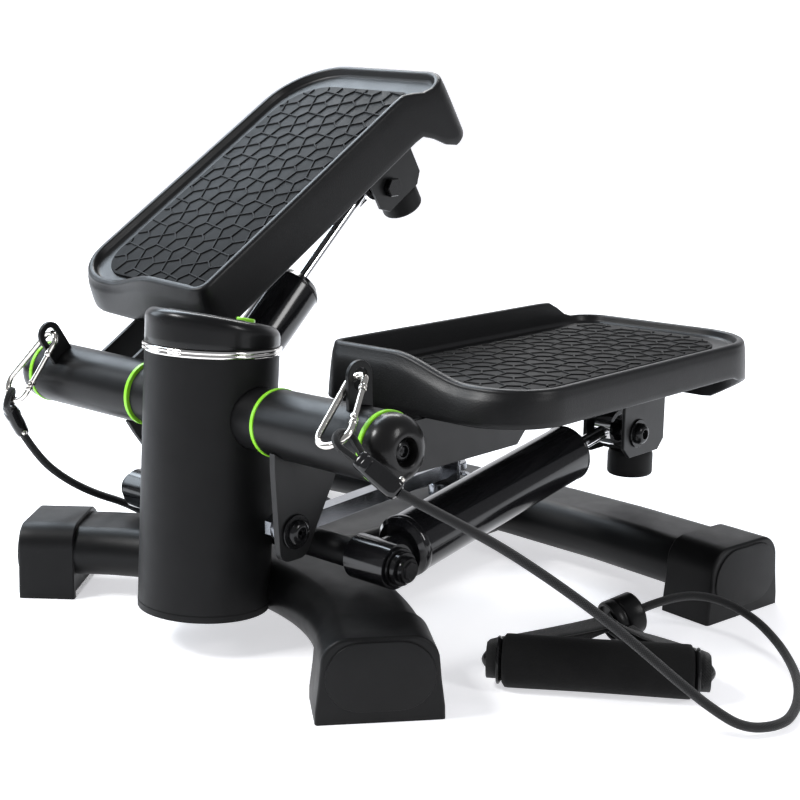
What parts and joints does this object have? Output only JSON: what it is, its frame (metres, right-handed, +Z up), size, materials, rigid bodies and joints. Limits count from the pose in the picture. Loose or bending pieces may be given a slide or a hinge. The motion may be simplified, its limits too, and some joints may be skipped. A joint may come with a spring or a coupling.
{
  "type": "mini stepper",
  "caption": "Twin-pedal stepping machine: hinged foot plates on swept axles with two hydraulic cylinders, a linked rocker, a column with a display, and elastic arm bands.",
  "frame": {"origin": "on the floor, on the symmetry plane, 165 mm behind the foot of the column", "axes": "+X to the user's side that carries the lowered pedal, +Y towards the user, +Z up"},
  "size_m": [0.6176, 0.4204, 0.3893],
  "materials": {
    "frame_paint": "satin powder coat",
    "column_paint": "matt powder coat",
    "foot_rubber": "moulded, matt",
    "ring_chrome": "bright",
    "head_plastic": "satin",
    "window": "clear",
    "lcd": "grey-green",
    "board": "solder mask",
    "cell": "plain",
    "lime_plastic": "lime green",
    "axle_steel": "ground",
    "collar_plastic": "satin",
    "cap_plastic": "polished",
    "zinc": "bright zinc",
    "sleeve_paint": "satin powder coat",
    "arm_paint": "satin powder coat",
    "pedal_plastic": "fine grain",
    "mat_rubber": "ribbed tiles",
    "bumper_rubber": "matt",
    "black_bolt": "black oxide",
    "cylinder_gloss": "gloss",
    "rod_chrome": "hard chrome",
    "hook_nickel": "nickel",
    "clamp_plastic": "polished",
    "cord_weave": "braided",
    "connector_plastic": "satin",
    "core_plastic": "satin",
    "grip_foam": "foam",
    "webbing": "woven"
  },
  "bodies": {
    "base": {"main_beam": "frame_paint", "front_leg_tube": "frame_paint", "rear_leg_tube": "frame_paint", "lower_axle": "frame_paint", "column_post": "frame_paint", "column_tube": "column_paint", "front_foot_caps": "foot_rubber", "rear_foot_caps": "foot_rubber", "chrome_ring": "ring_chrome", "head_housing": "head_plastic", "display_window": "window", "lcd_panel": "lcd", "circuit_board": "board", "coin_cell": "cell", "axle_shafts": "axle_steel", "axle_collars": "collar_plastic", "axle_caps": "cap_plastic", "base_fasteners": "zinc", "right_band_cord": "cord_weave", "right_band_connector": "connector_plastic", "right_handle_core": "core_plastic", "right_foam_grip": "grip_foam", "right_handle_webbing": "webbing", "left_band_cord": "cord_weave", "left_band_connector": "connector_plastic", "left_handle_core": "core_plastic", "left_foam_grip": "grip_foam", "left_handle_webbing": "webbing"},
    "button": {"display_button": "lime_plastic"},
    "rocker": {"rocker": "zinc"},
    "right_pedal": {"right_sleeve": "sleeve_paint", "right_flanged_bushings": "lime_plastic", "right_crank_plate": "arm_paint", "right_pedal_arm": "arm_paint", "right_pedal_shell": "pedal_plastic", "right_pedal_mat": "mat_rubber", "right_band_eyelet": "sleeve_paint", "right_bumper": "bumper_rubber", "right_pedal_bolts": "black_bolt", "right_carabiner": "hook_nickel", "right_band_clamp": "clamp_plastic"},
    "right_cylinder": {"right_cylinder": "cylinder_gloss"},
    "right_rod": {"right_rod": "rod_chrome"},
    "right_link": {"right_link": "zinc"},
    "right_gate": {"right_carabiner_gate": "hook_nickel"},
    "left_pedal": {"left_sleeve": "sleeve_paint", "left_flanged_bushings": "lime_plastic", "left_crank_plate": "arm_paint", "left_pedal_arm": "arm_paint", "left_pedal_shell": "pedal_plastic", "left_pedal_mat": "mat_rubber", "left_band_eyelet": "sleeve_paint", "left_bumper": "bumper_rubber", "left_pedal_bolts": "black_bolt", "left_carabiner": "hook_nickel", "left_band_clamp": "clamp_plastic"},
    "left_cylinder": {"left_cylinder": "cylinder_gloss"},
    "left_rod": {"left_rod": "rod_chrome"},
    "left_link": {"left_link": "zinc"},
    "left_gate": {"left_carabiner_gate": "hook_nickel"}
  },
  "joints": [
    {"name": "right_pedal_hinge", "type": "hinge", "parent": "base", "child": "right_pedal", "pos_m": [0, -0.1467, 0.158], "axis": [0.9956, -0.0871, 0.0332], "range_deg": [-4, 37.5], "deforming": ["right_band_cord", "left_band_cord"]},
    {"name": "left_pedal_hinge", "type": "hinge", "parent": "base", "child": "left_pedal", "pos_m": [0, -0.1467, 0.158], "axis": [0.9956, 0.0871, -0.0332], "range_deg": [-37.5, 4]},
    {"name": "right_cylinder_hinge", "type": "hinge", "parent": "base", "child": "right_cylinder", "pos_m": [0.118, -0.114, 0.07], "axis": [1, 0, 0], "range_deg": [-4.5, 38.5]},
    {"name": "left_cylinder_hinge", "type": "hinge", "parent": "base", "child": "left_cylinder", "pos_m": [-0.118, -0.114, 0.07], "axis": [1, 0, 0], "range_deg": [-38.5, 4.5]},
    {"name": "right_rod_slide", "type": "slide", "parent": "right_cylinder", "child": "right_rod", "axis": [0, 0.9859, 0.1671], "range_m": [-0.0075, 0.0655]},
    {"name": "left_rod_slide", "type": "slide", "parent": "left_cylinder", "child": "left_rod", "axis": [0, 0.7334, 0.6798], "range_m": [-0.0655, 0.0075]},
    {"name": "right_link_hinge", "type": "hinge", "parent": "right_pedal", "child": "right_link", "pos_m": [0.073, -0.155, 0.092], "axis": [0.9956, -0.0871, 0.0332], "range_deg": [-41.5, 5]},
    {"name": "left_link_hinge", "type": "hinge", "parent": "left_pedal", "child": "left_link", "pos_m": [-0.07598, -0.11705, 0.1023], "axis": [0.9956, 0.0871, -0.0332], "range_deg": [-5, 41.5]},
    {"name": "rocker_hinge", "type": "hinge", "parent": "base", "child": "rocker", "pos_m": [0, 0.091, 0.082], "axis": [0, 0, 1], "range_deg": [-9.5, 82.5]},
    {"name": "display_button_slide", "type": "slide", "parent": "base", "child": "button", "axis": [0, -0.2419, -0.9703], "range_m": [0, 0.0012], "stiffness_N_per_m": 400, "springref_m": -0.0004},
    {"name": "right_gate_hinge", "type": "hinge", "parent": "right_pedal", "child": "right_gate", "pos_m": [0.16517, -0.18381, 0.18473], "axis": [-0.0791, -0.6015, 0.795], "range_deg": [0, 16], "stiffness_Nm_per_rad": 0.01, "springref_deg": -17.19},
    {"name": "left_gate_hinge", "type": "hinge", "parent": "left_pedal", "child": "left_gate", "pos_m": [-0.14855, -0.19497, 0.16198], "axis": [0.0931, -0.9178, 0.386], "range_deg": [0, 16], "stiffness_Nm_per_rad": 0.01, "springref_deg": -17.19}
  ],
  "couplings": [
    {"joint": "left_pedal_hinge", "follows": "right_pedal_hinge", "ratio": -1},
    {"joint": "right_cylinder_hinge", "follows": "right_pedal_hinge", "ratio": 0.995},
    {"joint": "left_cylinder_hinge", "follows": "right_pedal_hinge", "ratio": -0.995},
    {"joint": "right_rod_slide", "follows": "right_pedal_hinge", "m_per_rad": 0.0992},
    {"joint": "left_rod_slide", "follows": "right_pedal_hinge", "m_per_rad": -0.0992},
    {"joint": "right_link_hinge", "follows": "right_pedal_hinge", "ratio": -1.093},
    {"joint": "left_link_hinge", "follows": "right_pedal_hinge", "ratio": 1.093},
    {"joint": "rocker_hinge", "follows": "right_pedal_hinge", "ratio": 2.173}
  ]
}
